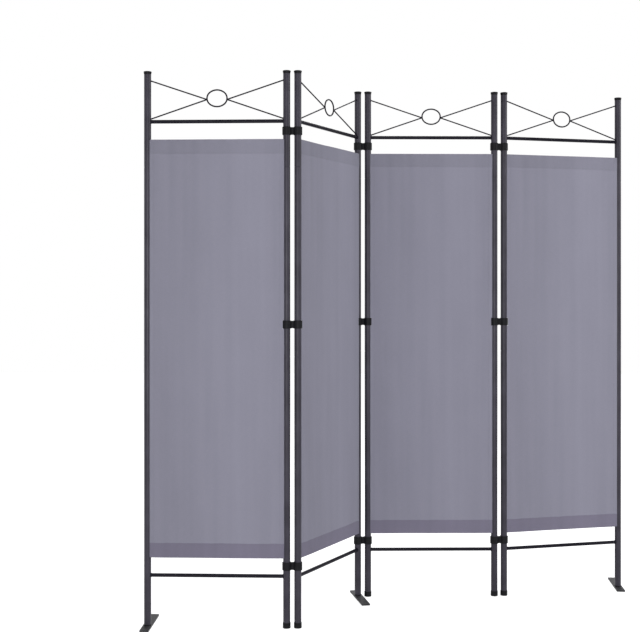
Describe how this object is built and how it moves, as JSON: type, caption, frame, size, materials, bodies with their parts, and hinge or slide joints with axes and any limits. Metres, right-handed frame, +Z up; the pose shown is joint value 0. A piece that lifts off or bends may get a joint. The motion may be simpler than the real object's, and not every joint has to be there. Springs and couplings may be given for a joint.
{
  "type": "folding room divider",
  "caption": "Free-standing zigzag room divider: black steel tube frames with grey cloth, oval ring ornaments, plastic hinge clips and swivelling foot plates.",
  "frame": {"origin": "middle of the standing screen's outline on the floor", "axes": "+Z up the posts; the front of the screen faces -Y; +X to the right as seen from the front"},
  "size_m": [1.6677, 0.7789, 1.8],
  "materials": {
    "black_steel": "satin black powder coat",
    "black_plate": "satin black powder coat, scuffed edges",
    "black_plastic": "moulded black plastic",
    "zinc_steel": "zinc plated",
    "grey_cloth": "plain woven polyester with folded hems"
  },
  "bodies": {
    "panel_1": {"panel_1_left_upper_tube": "black_steel", "panel_1_left_middle_tube": "black_steel", "panel_1_left_lower_tube": "black_steel", "panel_1_right_upper_tube": "black_steel", "panel_1_right_middle_tube": "black_steel", "panel_1_right_lower_tube": "black_steel", "panel_1_top_rail": "black_steel", "panel_1_bottom_rail": "black_steel", "panel_1_ornament": "black_steel", "panel_1_cloth": "grey_cloth", "panel_1_top_caps": "black_plastic", "panel_1_foot_caps": "black_plastic", "panel_1_foot_insert": "black_plastic", "panel_1_foot_screw": "zinc_steel"},
    "panel_2": {"panel_2_left_upper_tube": "black_steel", "panel_2_left_middle_tube": "black_steel", "panel_2_left_lower_tube": "black_steel", "panel_2_right_upper_tube": "black_steel", "panel_2_right_middle_tube": "black_steel", "panel_2_right_lower_tube": "black_steel", "panel_2_top_rail": "black_steel", "panel_2_bottom_rail": "black_steel", "panel_2_ornament": "black_steel", "panel_2_cloth": "grey_cloth", "panel_2_top_caps": "black_plastic", "panel_2_foot_caps": "black_plastic", "panel_2_foot_insert": "black_plastic", "panel_2_foot_screw": "zinc_steel"},
    "panel_3": {"panel_3_left_upper_tube": "black_steel", "panel_3_left_middle_tube": "black_steel", "panel_3_left_lower_tube": "black_steel", "panel_3_right_upper_tube": "black_steel", "panel_3_right_middle_tube": "black_steel", "panel_3_right_lower_tube": "black_steel", "panel_3_top_rail": "black_steel", "panel_3_bottom_rail": "black_steel", "panel_3_ornament": "black_steel", "panel_3_cloth": "grey_cloth", "panel_3_top_caps": "black_plastic", "panel_3_foot_caps": "black_plastic"},
    "panel_4": {"panel_4_left_upper_tube": "black_steel", "panel_4_left_middle_tube": "black_steel", "panel_4_left_lower_tube": "black_steel", "panel_4_right_upper_tube": "black_steel", "panel_4_right_middle_tube": "black_steel", "panel_4_right_lower_tube": "black_steel", "panel_4_top_rail": "black_steel", "panel_4_bottom_rail": "black_steel", "panel_4_ornament": "black_steel", "panel_4_cloth": "grey_cloth", "panel_4_top_caps": "black_plastic", "panel_4_foot_caps": "black_plastic", "panel_4_foot_insert": "black_plastic", "panel_4_foot_screw": "zinc_steel"},
    "clips_12": {"hinge_clips_12": "black_plastic"},
    "clips_23": {"hinge_clips_23": "black_plastic"},
    "clips_34": {"hinge_clips_34": "black_plastic"},
    "foot_plate_1": {"panel_1_foot_plate": "black_plate"},
    "foot_plate_2": {"panel_2_foot_plate": "black_plate"},
    "foot_plate_4": {"panel_4_foot_plate": "black_plate"}
  },
  "joints": [
    {"name": "clips_12_turn", "type": "hinge", "parent": "panel_2", "child": "clips_12", "pos_m": [-0.33126, -0.31838, 0], "axis": [0, 0, -1], "range_deg": [-60, 30]},
    {"name": "panel_1_turn", "type": "hinge", "parent": "clips_12", "child": "panel_1", "pos_m": [-0.36712, -0.32151, 0], "axis": [0, 0, -1], "range_deg": [-5, 85]},
    {"name": "clips_23_turn", "type": "hinge", "parent": "panel_2", "child": "clips_23", "pos_m": [-0.14023, 0.09127, 0], "axis": [0, 0, -1], "range_deg": [-47, 29]},
    {"name": "panel_3_turn", "type": "hinge", "parent": "clips_23", "child": "panel_3", "pos_m": [-0.10432, 0.09379, 0], "axis": [0, 0, -1], "range_deg": [-1, 89]},
    {"name": "clips_34_turn", "type": "hinge", "parent": "panel_3", "child": "clips_34", "pos_m": [0.34706, 0.11744, 0], "axis": [0, 0, 1], "range_deg": [-9, 81]},
    {"name": "panel_4_turn", "type": "hinge", "parent": "clips_34", "child": "panel_4", "pos_m": [0.38227, 0.12493, 0], "axis": [0, 0, 1], "range_deg": [-5, 85]},
    {"name": "foot_plate_1_swivel", "type": "hinge", "parent": "panel_1", "child": "foot_plate_1", "pos_m": [-0.81912, -0.32151, 0], "axis": [0, 0, 1], "range_deg": [-90, 90]},
    {"name": "foot_plate_2_swivel", "type": "hinge", "parent": "panel_2", "child": "foot_plate_2", "pos_m": [-0.14023, 0.09127, 0], "axis": [0, 0, -1], "range_deg": [-29, 38]},
    {"name": "foot_plate_4_swivel", "type": "hinge", "parent": "panel_4", "child": "foot_plate_4", "pos_m": [0.81452, 0.25708, 0], "axis": [0, 0, 1], "range_deg": [-71, 109]}
  ]
}
